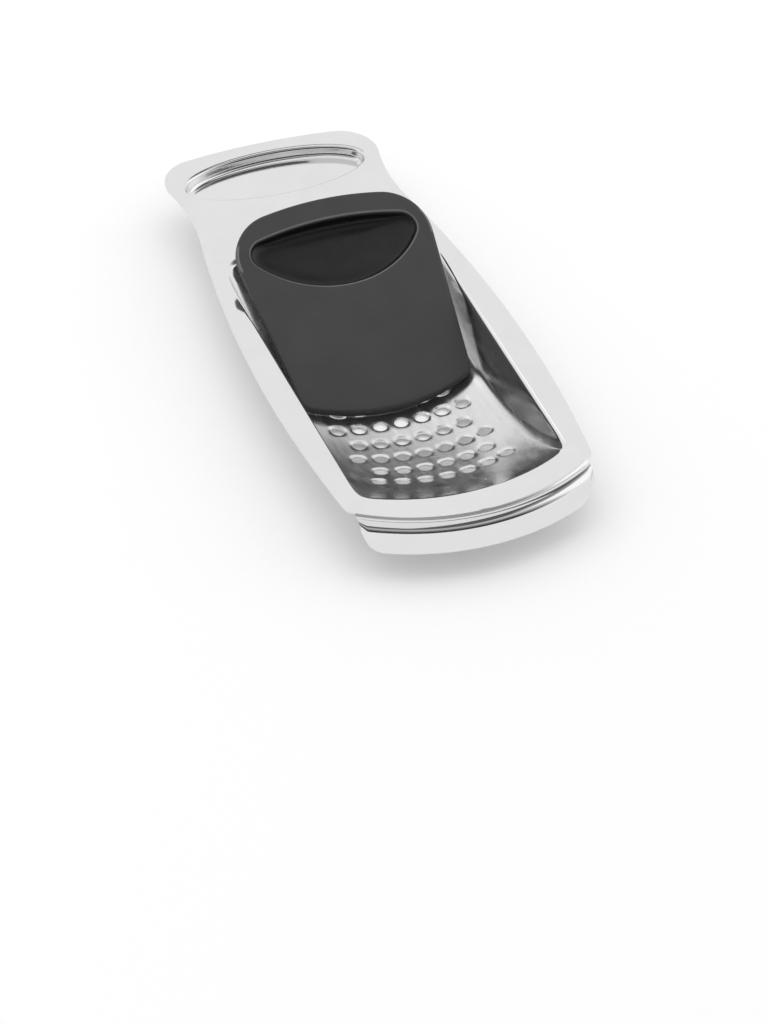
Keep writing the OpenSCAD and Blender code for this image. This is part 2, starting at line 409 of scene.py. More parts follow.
def mouth_half():
    """The mouth's edge from its front to its rear, found by halving along rays from the middle."""
    turn = np.linspace(-math.pi / 2, math.pi / 2, MOUTH_POINTS)
    far, near = np.full(MOUTH_POINTS, RAY_REACH * mouth_r), np.zeros(MOUTH_POINTS)
    top = np.full(MOUTH_POINTS, FLANGE_TOP)
    edge = halved(far, near, lambda away: squeeze(*on_ray(away, turn), top))
    return np.stack(on_ray(edge, turn), -1)


def flange_half():
    """Front arc, corner, side arc, waist, handle corner and bowed end, from front to rear."""
    rim, bow = (0, RIM_R), (0, TRAY_END - HANDLE_BOW_R)
    corner_x = HANDLE_W / 2 - HANDLE_CORNER_R
    corner = (corner_x, bow[1] + math.sqrt((HANDLE_BOW_R - HANDLE_CORNER_R) ** 2 - corner_x**2))
    in_x, in_y = WAIST_W / 2 - corner_x, corner[1] - WAIST_Y
    waist_r = (in_x**2 + in_y**2 - HANDLE_CORNER_R**2) / (2 * (HANDLE_CORNER_R - in_x))
    waist = (WAIST_W / 2 + waist_r, WAIST_Y)
    drop = (FLANGE_W - WAIST_W) / 2
    side_r = (drop**2 + (WAIST_Y - FLANGE_WIDE_Y) ** 2) / (2 * drop) - waist_r
    side = (FLANGE_W / 2 - side_r, FLANGE_WIDE_Y)
    front = meeting(side, side_r - FLANGE_CORNER_R, rim, FLANGE_FRONT_R - FLANGE_CORNER_R)
    beyond = 2 * np.array([front, front, corner]) - np.array([rim, side, bow])
    return np.vstack([
        arc(rim, FLANGE_FRONT_R, (0, 0), front),
        arc(front, FLANGE_CORNER_R, beyond[0], beyond[1]),
        arc(side, side_r, front, waist),
        arc(waist, waist_r, side, corner),
        arc(corner, HANDLE_CORNER_R, waist, beyond[2]),
        arc(bow, HANDLE_BOW_R, corner, (0, TRAY_END)),
    ])


mouth_line, flange_line = mouth_half(), flange_half()
print("mouth half width mm:", round(mouth_line[:, 0].max() / MM, 2))
print("flange half width mm:", round(flange_line[:, 0].max() / MM, 2))

# %% [markdown]
# Now the lines from the patch to the flange. Matching the corner of the patch to the corner of
# the mouth keeps the quads square. Where the wall meets the flange, the corner is rounded by a
# short parabola. The flange itself is flat, so it needs few points, but one row stays close to
# its edge to keep the shading flat there.

# %% The trough's walls and the flange round it
FRONT_SEGMENTS = ROW_HOLES * CELL_X // 2
SIDE_SEGMENTS = ROWS * CELL_Y
HOOK_SEGMENTS = 18
WALL_ROWS, ROUND_ROWS = 34, 7
WALL_CROWDING = 1.6
MOUTH_ROUND = 2.4 * MM
EDGE_ROW = 0.5 * MM
LINE_SAMPLES = 700
FLANGE_SHARES = (0.33, 0.66)


def patch_half():
    """The right half of the patch's border in plan, from its front middle to its rear middle."""
    x = np.linspace(0, patch_x, FRONT_SEGMENTS + 1)
    s = np.linspace(-patch_s, patch_s, SIDE_SEGMENTS + 1)
    border_x = np.concatenate([x, np.full(SIDE_SEGMENTS - 1, patch_x), x[::-1]])
    border_s = np.concatenate([np.full(len(x), -patch_s), s[1:-1], np.full(len(x), patch_s)])
    return np.stack(on_sphere(border_x, bowed(border_x, border_s)), -1)


def matched(chain, stops, counts):
    """Shares out each stretch between stops into its own count of points."""
    parts = [shared_out(part_of(chain, a, b), n) for a, b, n in zip(stops[:-1], stops[1:], counts)]
    return np.vstack([part[:-1] for part in parts] + [parts[-1][-1:]])


def mouth_matched():
    """Mouth points for each patch point, corner to corner."""
    angle = math.acos(MOUTH_W / 2 / mouth_r)
    corners = [(MOUTH_W / 2, floor_y + end * mouth_r * math.sin(angle)) for end in (-1, 1)]
    stops = [0] + [run_to(mouth_line, corner) for corner in corners] + [lengths(mouth_line)[-1]]
    return matched(mouth_line, stops, (FRONT_SEGMENTS, SIDE_SEGMENTS, FRONT_SEGMENTS))


def collar_crossing():
    """The distance along the flange's edge at which it passes COLLAR_Y on the way to the rear."""
    run, y = lengths(flange_line), flange_line[:, 1]
    after = np.argmax(y > COLLAR_Y)
    share = (COLLAR_Y - y[after - 1]) / (y[after] - y[after - 1])
    return between(run[after - 1], run[after], share)


def hook_end():
    """The distance along the front arc at which it is half the hook's width from the middle."""
    return FLANGE_FRONT_R * math.asin(HOOK_W / 2 / FLANGE_FRONT_R)


def edge_matched():
    """Edge points for each patch point: the hook's width, then the side, then across the collar."""
    side_count = FRONT_SEGMENTS + SIDE_SEGMENTS - HOOK_SEGMENTS
    stops = [0, hook_end(), collar_crossing()]
    edge = matched(flange_line, stops, (HOOK_SEGMENTS, side_count))
    x = np.linspace(edge[-1, 0], 0, FRONT_SEGMENTS + 1)[1:]
    return np.vstack([edge, np.stack([x, np.full(len(x), COLLAR_Y)], -1)])


def parabola(a, corner, b, rows):
    """Rows of a curve that leaves a towards the corner and reaches b from it."""
    t = np.linspace(0, 1, rows + 1)[:, None, None]
    return (1 - t) ** 2 * a + 2 * t * (1 - t) * corner + t**2 * b


def flat(plan):
    """Plan points at the height of the flange's top."""
    return np.concatenate([plan, np.full(plan.shape[:-1] + (1,), FLANGE_TOP)], -1)


def as_share(distance, a, b):
    """A distance as a share of the way from each point of a to its match in b."""
    return distance / np.linalg.norm(b - a, axis=-1)[:, None]


def full_ring(half):
    """A half line of columns with its mirror image, as one closed ring of columns."""
    mirrored = half[:, -2:0:-1] * np.array([-1, 1, 1])
    return np.concatenate([half, mirrored], axis=1)


def wall_lines(inner, mouth):
    """Points of equal spacing up each wall, from the patch to just under the mouth's round."""
    share = 1 - (1 - np.linspace(0, 1, LINE_SAMPLES)) ** WALL_CROWDING
    plan = between(inner, mouth, share[:, None, None])
    dense = np.concatenate([plan, trough_height(plan[..., 0], plan[..., 1])[..., None]], -1)
    columns = []
    for line in dense.swapaxes(0, 1):
        at = np.linspace(0, lengths(line)[-1] - MOUTH_ROUND, WALL_ROWS)
        columns.append(at_distances(line, at))
    return np.stack(columns, 1)


patch_edge, mouth_edge, flange_edge = patch_half(), mouth_matched(), edge_matched()
walls = wall_lines(patch_edge, mouth_edge)
landing = mouth_edge + unit(mouth_edge - patch_edge) * MOUTH_ROUND
mouth_round = parabola(walls[-1], flat(mouth_edge), flat(landing), ROUND_ROWS)
near_edge = 1 - as_share(EDGE_ROW, landing, flange_edge)
row_shares = FLANGE_SHARES + (near_edge, 1)
flange_rows = [flat(between(landing, flange_edge, share)) for share in row_shares]
trough_grid = np.concatenate([walls, mouth_round[1:], np.array(flange_rows)])
trough_block = grid_block(full_ring(trough_grid), closed=True)
print("trough rows and columns:", full_ring(trough_grid).shape[:2])

# %% [markdown]
# The hook. On the real tray, the front of the sheet is rolled over a ring: it steps down, forms a
# round bead over the line where it seats and ends in a flared skirt. That is a profile carried
# round an arc. Columns of equal x keep the hook's two ends straight and its lower corners round.

# %% The hook as a profile swept round the rim's arc
STEP_RUN, STEP_DROP = 1.5 * MM, 1.2 * MM
VALLEY = 0.2 * MM
CROWN_R = RIM_R - 3 * MM
BEAD_TOP = SHEET
BEAD_R = 5.4 * MM
SKIRT_DROP, SKIRT_FLARE = 13.1 * MM, math.radians(13)
SKIRT_CORNER_R = 10 * MM
STEP_ROWS, BEAD_ROWS = 18, 60
SKIRT_SAMPLES = 30


def hook_profile():
    """Radius and height: a smooth step down, a quarter circle, then the straight skirt."""
    t = np.linspace(0, 1, STEP_ROWS)
    step_r = FLANGE_FRONT_R + t * STEP_RUN
    step_z = FLANGE_TOP - STEP_DROP * smoothstep(t) - VALLEY * np.sin(math.pi * t) ** 2 * t
    turn = np.linspace(0, math.pi / 2, LINE_SAMPLES)
    bead_r = CROWN_R + BEAD_R * np.sin(turn)
    bead_z = BEAD_TOP - BEAD_R + BEAD_R * np.cos(turn)
    fall = np.linspace(0, SKIRT_DROP + bead_z[-1], SKIRT_SAMPLES)[1:]
    skirt_r = bead_r[-1] + fall * math.tan(SKIRT_FLARE)
    step = np.stack([step_r, step_z], -1)
    rest = np.stack([np.r_[bead_r, skirt_r], np.r_[bead_z, bead_z[-1] - fall]], -1)
    return step, rest


def skirt_bottom(x):
    """The skirt's lower edge: level, then a quarter circle up to each end."""
    past = np.maximum(np.abs(x) - (HOOK_W / 2 - SKIRT_CORNER_R), 0)
    rise = SKIRT_CORNER_R - np.sqrt(np.maximum(SKIRT_CORNER_R**2 - past**2, 0))
    return -SKIRT_DROP + rise


def hook_grid(x):
    """Columns of equal x: the step's rows are fixed, and the rest shrinks to the skirt's edge."""
    step, rest = hook_profile()
    columns = []
    for column_x, bottom in zip(x, skirt_bottom(x)):
        end = np.interp(-bottom, -rest[:, 1], lengths(rest))
        lower = at_distances(rest, np.linspace(0, end, BEAD_ROWS))
        radius, height = np.vstack([step, lower]).T
        y = RIM_R - np.sqrt(radius**2 - column_x**2)
        columns.append(np.stack([np.full(len(y), column_x), y, height], -1))
    return np.stack(columns, 1)


hook_x = flange_edge[: HOOK_SEGMENTS + 1, 0]
hook_x = np.concatenate([-hook_x[:0:-1], hook_x])
hook_block = grid_block(hook_grid(hook_x))
print("hook columns:", len(hook_x))

# %% [markdown]
# The handle. Its finger recess is an oval dish drawn into the flat end. Rings run from the
# handle's edge to the oval, over a rounded lip, down a steep wall and across a flat floor.

# %% The handle's plate and its oval finger recess
RECESS_A, RECESS_B = 49 * MM, 18 * MM
RECESS_Y = TRAY_END - 27 * MM
RECESS_DEPTH = 6 * MM
RECESS_WALL = 1.4 * MM
LIP_ROUND, FOOT_ROUND = 1.8 * MM, 2.6 * MM
HANDLE_SIDE, HANDLE_REAR = 48, 34
LIP_ROWS, FOOT_ROWS = 14, 18
OVAL_CORNER = math.radians(40)
HANDLE_SHARES = (0.3, 0.6, 0.85)
FLOOR_SHARES = (0.72, 0.45, 0.2)


def handle_ring():
    """The plate's border: across the collar, along the waist and corner, to the end's middle."""
    corner = run_to(flange_line, (HANDLE_W / 2, TRAY_END))
    stops = [collar_crossing(), corner, lengths(flange_line)[-1]]
    edge = matched(flange_line, stops, (HANDLE_SIDE, HANDLE_REAR))
    x = np.linspace(0, edge[0, 0], FRONT_SEGMENTS + 1)[:-1]
    return np.vstack([np.stack([x, np.full(len(x), COLLAR_Y)], -1), edge])


def oval_turns():
    """Oval angles that match the plate's border, from the front round the right to the rear."""
    front = np.linspace(-math.pi / 2, -OVAL_CORNER, FRONT_SEGMENTS + 1)[:-1]
    side = np.linspace(-OVAL_CORNER, OVAL_CORNER, HANDLE_SIDE + 1)[:-1]
    return np.concatenate([front, side, np.linspace(OVAL_CORNER, math.pi / 2, HANDLE_REAR + 1)])


def inside_oval(turn, inset, height):
    """The oval (a cos t, b sin t) moved inwards along its normal by inset."""
    edge = np.stack([RECESS_A * np.cos(turn), RECESS_B * np.sin(turn)], -1)
    normal = unit(np.stack([np.cos(turn) / RECESS_A, np.sin(turn) / RECESS_B], -1))
    plan = edge - normal * inset + np.array([0, RECESS_Y])
    return np.concatenate([plan, np.full((len(turn), 1), height)], -1)


def dish_profile(depth, wall, lip, foot):
    """Inset and height below the rim: a round lip, a sloped wall and a round foot."""
    slope = np.array([wall, -depth]) / math.hypot(wall, depth)
    top, low = np.zeros(2), np.array([wall, -depth])
    start, end = np.array([-lip, 0]), low + np.array([foot, 0])
    over = parabola(start, top, top + slope * lip, LIP_ROWS)[:, 0]
    under = parabola(low - slope * foot, low, end, FOOT_ROWS)[:, 0]
    return np.vstack([over, under])


turns = oval_turns()
dish = dish_profile(RECESS_DEPTH, RECESS_WALL, LIP_ROUND, FOOT_ROUND)
dish_rows = [inside_oval(turns, inset, FLANGE_TOP + drop) for inset, drop in dish]
border = flat(handle_ring())
plate_shares = (0, as_share(EDGE_ROW, border, dish_rows[0])) + HANDLE_SHARES
plate_rows = [between(border, dish_rows[0], share) for share in plate_shares]
dish_middle = np.array([0, RECESS_Y, FLANGE_TOP - RECESS_DEPTH])
floor_rows = [between(dish_middle, dish_rows[-1], share) for share in FLOOR_SHARES]
handle_grid = full_ring(np.array(plate_rows + dish_rows + floor_rows))
handle_block = grid_block(handle_grid, closed=True)
handle_middle = fan_block(handle_grid[-1], dish_middle)
print("handle rows and columns:", handle_grid.shape[:2])

# %% [markdown]
# All the blocks now meet point for point, so they weld into one sheet. The sheet gets its
# thickness downwards, and its cut edges get the tiny round that polishing leaves on them. Inside
# the trough, the scraper's strokes have dulled the polish, so each point there gets a mark.

# %% Weld the tray, give it thickness and round its edges
EDGE_ROUND = 0.16 * MM
EDGE_SEGMENTS, EDGE_ANGLE = 2, math.radians(50)
WEAR_DEPTH = 9 * MM


def places_of(mesh):
    """All the points of a mesh as one (count, 3) array."""
    places = np.empty(3 * len(mesh.vertices))
    mesh.vertices.foreach_get("co", places)
    return places.reshape(-1, 3)


def mark(mesh, name, values):
    """Writes one number for each point, which a material can read by name."""
    layer = mesh.attributes.new(name, "FLOAT", "POINT")
    layer.data.foreach_set("value", values.astype(np.float32))


def mark_strokes(mesh):
    """Marks the trough: 0 at the flange and 1 from WEAR_DEPTH down, between the mouth's ends."""
    x, y, z = places_of(mesh).T
    inside = np.hypot(x, y - floor_y) < mouth_r
    mark(mesh, "strokes", np.where(inside, smoothstep((FLANGE_TOP - z) / WEAR_DEPTH), 0))


def face_up(shell):
    """Turns over every face that looks down: the top of this sheet is seen from above all over."""
    shell.normal_update()
    bmesh.ops.reverse_faces(shell, faces=[f for f in shell.faces if f.normal.z < 0])


def finished(name, mesh):
    """An object at the origin for a mesh, shaded smooth."""
    mesh.polygons.foreach_set("use_smooth", np.ones(len(mesh.polygons), bool))
    mesh.update()
    return new_object(name, mesh)


def thicken(piece, thickness, edge_round):
    """Adds the sheet's thickness below its top face and a small round along its cut edges."""
    wall = piece.modifiers.new("thickness", "SOLIDIFY")
    wall.thickness = thickness
    wall.offset = -1
    wall.use_even_offset = True
    wall.use_quality_normals = True
    edges = piece.modifiers.new("edge_round", "BEVEL")
    edges.width = edge_round
    edges.segments = EDGE_SEGMENTS
    edges.limit_method = "ANGLE"
    edges.angle_limit = EDGE_ANGLE
    shading = piece.modifiers.new("even_shading", "WEIGHTED_NORMAL")
    shading.keep_sharp = True


tray_blocks = patch_blocks + [trough_block, hook_block, handle_block, handle_middle]
tray_mesh = welded_mesh("pressed_tray", tray_blocks)
edit_mesh(tray_mesh, face_up)
mark_strokes(tray_mesh)
tray = finished("pressed_tray", tray_mesh)
thicken(tray, SHEET, EDGE_ROUND)
print("tray faces before thickness:", len(tray_mesh.polygons))

# %% [markdown]
# The scraper is a moulded plate that leans over the trough's floor. A flat plane cuts a sphere in
# a circle, and the lip follows such a circle, so its gap to the floor is equally small all along.
# Its sides widen a little to the rear, as the trough's walls do at its slope.

# %% The scraper's outline and its finger recess, in the plate's own plane
LEAN = math.radians(26)
LIP_ANGLE = math.radians(-1.7)
LIP_GAP = 0.3 * MM
SCRAPER_LEN, SCRAPER_T = 120 * MM, 6.5 * MM
SCRAPER_CROWN_R = 400 * MM
SIDE_GAP, SIDE_FOLLOW = 3.2 * MM, 0.88
PLATE_FRONT_R, PLATE_REAR_R, PLATE_BOW_R = 8 * MM, 24 * MM, 220 * MM
GRIP_FRONT, GRIP_FRONT_R = 71 * MM, 54 * MM
GRIP_BACK, GRIP_CORNER_R = 12 * MM, 8 * MM
GRIP_DEPTH, GRIP_WALL = 8 * MM, 2.4 * MM
PLATE_FRONT_COUNT, PLATE_REAR_COUNT = 70, 26

lip_reach = floor_r - LIP_GAP
lip_r = lip_reach * math.sin(LEAN - LIP_ANGLE)
lip_y = floor_y + lip_reach * math.sin(LIP_ANGLE)
lip_z = floor_z - lip_reach * math.cos(LIP_ANGLE)
rear_bow = np.array([0, SCRAPER_LEN - PLATE_BOW_R])


def reach(start, along, centre, radius, end):
    """Where a line is radius away from centre: end is 1 for the far place, -1 for the near one."""
    away = start - centre
    b = away @ along
    return start + along * (-b + end * math.sqrt(b * b - away @ away + radius**2))


def plate_half():
    """Lip, front corner, side, rear corner and bowed rear edge, from front to rear."""
    middle = np.array([0, lip_r])
    half_w = MOUTH_W / 2 - (FLANGE_TOP - lip_z) * math.tan(WALL_DRAFT) - SIDE_GAP
    angle = math.atan(math.tan(WALL_DRAFT) * math.sin(LEAN) * SIDE_FOLLOW)
    along = np.array([math.sin(angle), math.cos(angle)])
    inward = np.array([-along[1], along[0]])
    side = np.array([half_w, 0])
    front = reach(side + inward * PLATE_FRONT_R, along, middle, lip_r - PLATE_FRONT_R, -1)
    rear = reach(side + inward * PLATE_REAR_R, along, rear_bow, PLATE_BOW_R - PLATE_REAR_R, 1)
    return np.vstack([
        arc(middle, lip_r, (0, 0), front),
        arc(front, PLATE_FRONT_R, 2 * front - middle, front - inward),
        arc(rear, PLATE_REAR_R, rear - inward, 2 * rear - rear_bow),
        arc(rear_bow, PLATE_BOW_R, rear, (0, SCRAPER_LEN)),
    ])


def grip_half():
    """The half moon: a deep front arc, a corner and a rear edge beside the plate's own."""
    middle = np.array([0, GRIP_FRONT + GRIP_FRONT_R])
    bow_r = PLATE_BOW_R - GRIP_BACK
    corner = meeting(rear_bow, bow_r - GRIP_CORNER_R, middle, GRIP_FRONT_R - GRIP_CORNER_R)
    return np.vstack([
        arc(middle, GRIP_FRONT_R, (0, 0), corner),
        arc(corner, GRIP_CORNER_R, 2 * corner - middle, 2 * corner - rear_bow),
        arc(rear_bow, bow_r, corner, (0, SCRAPER_LEN)),
    ])


def closed_ring(half, corner):
    """Shares a half outline out, up to its rear corner and past it, and adds its mirror image."""
    stops = [0, run_to(half, corner), lengths(half)[-1]]
    right = matched(half, stops, (PLATE_FRONT_COUNT, PLATE_REAR_COUNT))
    return np.vstack([right, right[-2:0:-1] * np.array([-1, 1])])


plate_ring = closed_ring(plate_half(), (MOUTH_W / 2, SCRAPER_LEN))
grip_ring = closed_ring(grip_half(), (GRIP_FRONT_R, SCRAPER_LEN))
print("scraper width mm:", round(2 * plate_ring[:, 0].max() / MM, 1))

# %% [markdown]
# A moulded part has no sharp edge. Each ring of points is an outline grown or shrunk along its
# normal and set at a height, so a rounded edge is a row of rings that follow a quarter circle.
# From the middle of the underside to the middle of the recess, the whole skin is one such row.

# %% The scraper as one row of rings
LOW_ROUND, TOP_ROUND, RIM_ROUND = 0.5 * MM, 1.3 * MM, 1.5 * MM
CUP_ROUND, CUP_FILLET = 1.2 * MM, 0.8 * MM
CUP_ROWS, FILLET_ROWS, UNDER_ROWS, LOW_ROWS = 5, 4, 10, 4
TOP_EDGE_ROWS, CROWN_ROWS, RIM_ROWS = 6, 26, 12
CUP_SHARES, SIDE_SHARES = (0.3, 0.6, 0.85), (0.33, 0.67)
GRIP_DISH = 1.1 * MM
GRIP_MIDDLE = np.array([0, 97 * MM])
BOWL_POWER, BOWL_ROWS = 2.8, 20
# Painted shade darkens the recess, fading in from a little under its rim.
SHADE_FROM_RIM, SHADE_OVER, SHADE_REACH = 1.2 * MM, 2.2 * MM, 1.05
# Painted highlight: a pale band on the round of the recess's rim.
RIM_HIGHLIGHT_FULL_AT, RIM_HIGHLIGHT_GONE_AT, RIM_HIGHLIGHT_FADE = 0.08 * MM, 0.8 * MM, 0.3 * MM
RIM_HIGHLIGHT_REACH = 1.2
grip_floor = SCRAPER_T - GRIP_DEPTH
grip_low = grip_floor - GRIP_DISH
cup_low = grip_floor - GRIP_WALL
lean_cos, lean_sin = math.cos(LEAN), math.sin(LEAN)


def outward_of(ring):
    """Unit normals of a closed anticlockwise ring, square to the line between both neighbours."""
    along = unit(np.roll(ring, -1, axis=0) - np.roll(ring, 1, axis=0))
    return np.stack([along[:, 1], -along[:, 0]], -1)


def crown(x):
    """Height of the top over the plate's flat underside: thickness less x squared over 2R."""
    return SCRAPER_T - x**2 / (2 * SCRAPER_CROWN_R)


def placed(plan, height):
    """Turns plate coordinates by the lean about the lip and moves them to the lip."""
    y = lip_y + plan[:, 1] * lean_cos - height * lean_sin
    z = lip_z + plan[:, 1] * lean_sin + height * lean_cos
    return np.stack([plan[:, 0], y, z], -1)


def rounded(ring, grow, height, radius, start, stop, rows):
    """Rings on an arc: the outline grown by grow + r cos a, at height + r sin a."""
    out = outward_of(ring)
    turn = np.radians(np.linspace(start, stop, rows + 1))
    plans = [ring + out * (grow + radius * math.cos(a)) for a in turn]
    return [placed(plan, height + radius * math.sin(a)) for plan, a in zip(plans, turn)]


def spread(a, b, rows, height):
    """The rings between two plan rings, without the two themselves, at a height worked out from x."""
    plans = [between(a, b, share) for share in np.linspace(0, 1, rows + 2)[1:-1]]
    return [placed(plan, height(plan[:, 0])) for plan in plans]


def bowl(rim_top):
    """Rings at a share s of the rim's distance from the middle, (1 - s^n)^(1/n) of the way down."""
    turn = np.linspace(0, math.pi / 2, BOWL_ROWS + 1)[1:-1]
    shares, downs = np.cos(turn) ** (2 / BOWL_POWER), np.sin(turn) ** (2 / BOWL_POWER)
    plans = [between(GRIP_MIDDLE, grip_ring, share) for share in shares]
    return [placed(plan, between(rim_top, grip_low, down)) for plan, down in zip(plans, downs)]


def scraper_rings():
    """Underside and cup, lower edge, side, top edge, crowned top, recess rim and bowl."""
    plate_out, grip_out = outward_of(plate_ring), outward_of(grip_ring)
    side_top = crown(plate_ring[:, 0]) - TOP_ROUND
    rim_top = crown(grip_ring[:, 0]) - RIM_ROUND
    inset, outset = GRIP_WALL - CUP_ROUND, GRIP_WALL + CUP_FILLET
    cup_flat, cup_edge = grip_ring + grip_out * inset, grip_ring + grip_out * outset
    low_edge = plate_ring - plate_out * LOW_ROUND
    top_edge = plate_ring - plate_out * TOP_ROUND
    rim_edge = grip_ring + grip_out * RIM_ROUND
    rings = [placed(between(GRIP_MIDDLE, cup_flat, share), cup_low) for share in CUP_SHARES]
    rings += rounded(grip_ring, inset, cup_low + CUP_ROUND, CUP_ROUND, -90, 0, CUP_ROWS)
    rings += rounded(grip_ring, outset, -CUP_FILLET, CUP_FILLET, 180, 90, FILLET_ROWS)
    rings += spread(cup_edge, low_edge, UNDER_ROWS, lambda x: 0 * x)
    rings += rounded(plate_ring, -LOW_ROUND, LOW_ROUND, LOW_ROUND, -90, 0, LOW_ROWS)
    rings += [placed(plate_ring, between(LOW_ROUND, side_top, share)) for share in SIDE_SHARES]
    rings += rounded(plate_ring, -TOP_ROUND, side_top, TOP_ROUND, 0, 90, TOP_EDGE_ROWS)
    rings += spread(top_edge, rim_edge, CROWN_ROWS, crown)
    rings += rounded(grip_ring, RIM_ROUND, rim_top, RIM_ROUND, 90, 180, RIM_ROWS)
    return np.array(rings + bowl(rim_top))


def share_out(ring, centre, plan):
    """How far out each place lies: 0 at the centre and 1 on the ring, along its own direction."""
    to_ring, to_plan = ring - centre, plan - centre
    angles = np.arctan2(to_ring[:, 1], to_ring[:, 0])
    radii = np.hypot(*to_ring.T)
    wanted = np.arctan2(to_plan[:, 1], to_plan[:, 0])
    return np.hypot(*to_plan.T) / np.interp(wanted, angles, radii, period=2 * math.pi)


def mark_recess(mesh):
    """Marks painted shade in the recess from just under its rim, and a painted highlight on the edge
    of the rim itself.
    """
    x, y, z = (places_of(mesh) - np.array([0, lip_y, lip_z])).T
    along, height = y * lean_cos + z * lean_sin, z * lean_cos - y * lean_sin
    inside = share_out(grip_ring, GRIP_MIDDLE, np.stack([x, along], -1))
    above = height > (grip_low + cup_low) / 2
    depth = crown(x) - height
    painted_shade = smoothstep((depth - SHADE_FROM_RIM) / SHADE_OVER)
    rim_highlight = smoothstep(depth / RIM_HIGHLIGHT_FULL_AT) * smoothstep((RIM_HIGHLIGHT_GONE_AT - depth) / RIM_HIGHLIGHT_FADE)
    # Painted shade: the recess is darkened from just under its rim.
    mark(mesh, "recess", np.where(above & (inside < SHADE_REACH), painted_shade, 0))
    # Painted highlight: the round of the recess's rim is paled.
    mark(mesh, "rim_highlight", np.where(above & (inside < RIM_HIGHLIGHT_REACH), rim_highlight, 0))


def face_out(shell):
    """Points every face of a closed shell outwards."""
    bmesh.ops.recalc_face_normals(shell, faces=shell.faces)


rings = scraper_rings()
under_middle = placed(GRIP_MIDDLE[None], np.array([cup_low]))[0]
recess_middle = placed(GRIP_MIDDLE[None], np.array([grip_low]))[0]
fans = [fan_block(rings[0], under_middle), fan_block(rings[-1], recess_middle)]
scraper_mesh = welded_mesh("moulded_scraper", [fans[0], grid_block(rings, closed=True), fans[1]])
edit_mesh(scraper_mesh, face_out)
mark_recess(scraper_mesh)
scraper = finished("moulded_scraper", scraper_mesh)
print("scraper faces:", len(scraper_mesh.polygons))

# %% [markdown]
# Both finishes vary in the same two ways: broad clouds, left by handling, and a fine grain.
# Each is a shader node group, built once, that gets its own sizes in each material. The groups
# read Object coordinates, in metres, so a scale of 1000 makes features about a millimetre wide.

# %% Two shared effects as node groups
CLOUD_DETAIL, CLOUD_WARP, GRAIN_DETAIL = 4, 0.6, 3
NOISE_LOW, NOISE_HIGH = 0.3, 0.7


def feed(tree, node, inputs):
    """Gives a node its inputs, by label or by place: a link from an output, or a plain value."""
    for label, given in inputs.items():
        if isinstance(given, bpy.types.NodeSocket):
            tree.links.new(given, node.inputs[label])
        else:
            node.inputs[label].default_value = given


def add_node(tree, kind, inputs=(), **settings):
    """A shader node with its settings and its inputs."""
    node = tree.nodes.new("ShaderNode" + kind)
    for name, value in settings.items():
        setattr(node, name, value)
    feed(tree, node, dict(inputs))
    return node


def smooth_range(tree, inputs):
    """A value carried from one span to another by a smoothstep."""
    return add_node(tree, "MapRange", inputs, interpolation_type="SMOOTHSTEP").outputs["Result"]


def new_group(name, numbers, output):
    """A node group that takes Vector and named numbers, with its given inputs and its end node."""
    group = bpy.data.node_groups.new(name, "ShaderNodeTree")
    group.interface.new_socket("Vector", in_out="INPUT", socket_type="NodeSocketVector")
    for label, value in numbers.items():
        socket = group.interface.new_socket(label, in_out="INPUT", socket_type="NodeSocketFloat")
        socket.default_value = value
    group.interface.new_socket(output, in_out="OUTPUT", socket_type="NodeSocketFloat")
    return group, group.nodes.new("NodeGroupInput").outputs, group.nodes.new("NodeGroupOutput")


def handling_clouds():
    """Soft noise, stretched to its full span and then mapped from Low to High."""
    numbers = {"Scale": 40.0, "Low": 0.0, "High": 1.0}
    group, given, out = new_group("handling_clouds", numbers, "Value")
    noise = add_node(group, "TexNoise", {
        "Vector": given["Vector"], "Scale": given["Scale"],
        "Detail": CLOUD_DETAIL, "Distortion": CLOUD_WARP,
    })
    feed(group, out, {"Value": smooth_range(group, {
        "Value": noise.outputs["Fac"], "From Min": NOISE_LOW, "From Max": NOISE_HIGH,
        "To Min": given["Low"], "To Max": given["High"],
    })})
    return group


def surface_grain():
    """Fine noise whose features are drawn out along Y by Stretch."""
    group, given, out = new_group("surface_grain", {"Scale": 2000.0, "Stretch": 1.0}, "Height")
    apart = add_node(group, "SeparateXYZ", {"Vector": given["Vector"]}).outputs
    shrink = add_node(group, "Math", {0: apart["Y"], 1: given["Stretch"]}, operation="DIVIDE")
    together = add_node(group, "CombineXYZ", {
        "X": apart["X"], "Y": shrink.outputs["Value"], "Z": apart["Z"],
    })
    noise = add_node(group, "TexNoise", {
        "Vector": together.outputs["Vector"], "Scale": given["Scale"], "Detail": GRAIN_DETAIL,
    })
    feed(group, out, {"Height": noise.outputs["Fac"]})
    return group


CLOUDS, GRAIN = handling_clouds(), surface_grain()
print("shared effects:", CLOUDS.name, GRAIN.name)

# %% [markdown]
# A finish is one Principled shader. What is the same all over is set on its own sockets, and
# what varies comes through the groups. The helpers below keep each material short to read.

# %% Helpers that place the effects in a material
COLOUR_A, COLOUR_B, COLOUR_OUT = 6, 7, 2


def new_finish(name):
    """A material with its node tree, its Principled shader and its Object coordinates."""
    material = bpy.data.materials.new(name)
    material.use_nodes = True
    tree = material.node_tree
    return material, tree, tree.nodes["Principled BSDF"], add_node(tree, "TexCoord").outputs["Object"]


def effect(tree, group, where, **values):
    """Places a node group at Object coordinates with its own values, and gives its output."""
    return add_node(tree, "Group", {"Vector": where, **values}, node_tree=group).outputs[0]


def mixed(tree, share, first, second):
    """A colour that goes from first to second with share; each is a colour or a socket."""
    inputs = {"Factor": share, COLOUR_A: first, COLOUR_B: second}
    return add_node(tree, "Mix", inputs, data_type="RGBA").outputs[COLOUR_OUT]


def marked(tree, name):
    """The numbers that were written on the mesh's points under a name."""
    return add_node(tree, "Attribute", attribute_name=name).outputs["Fac"]


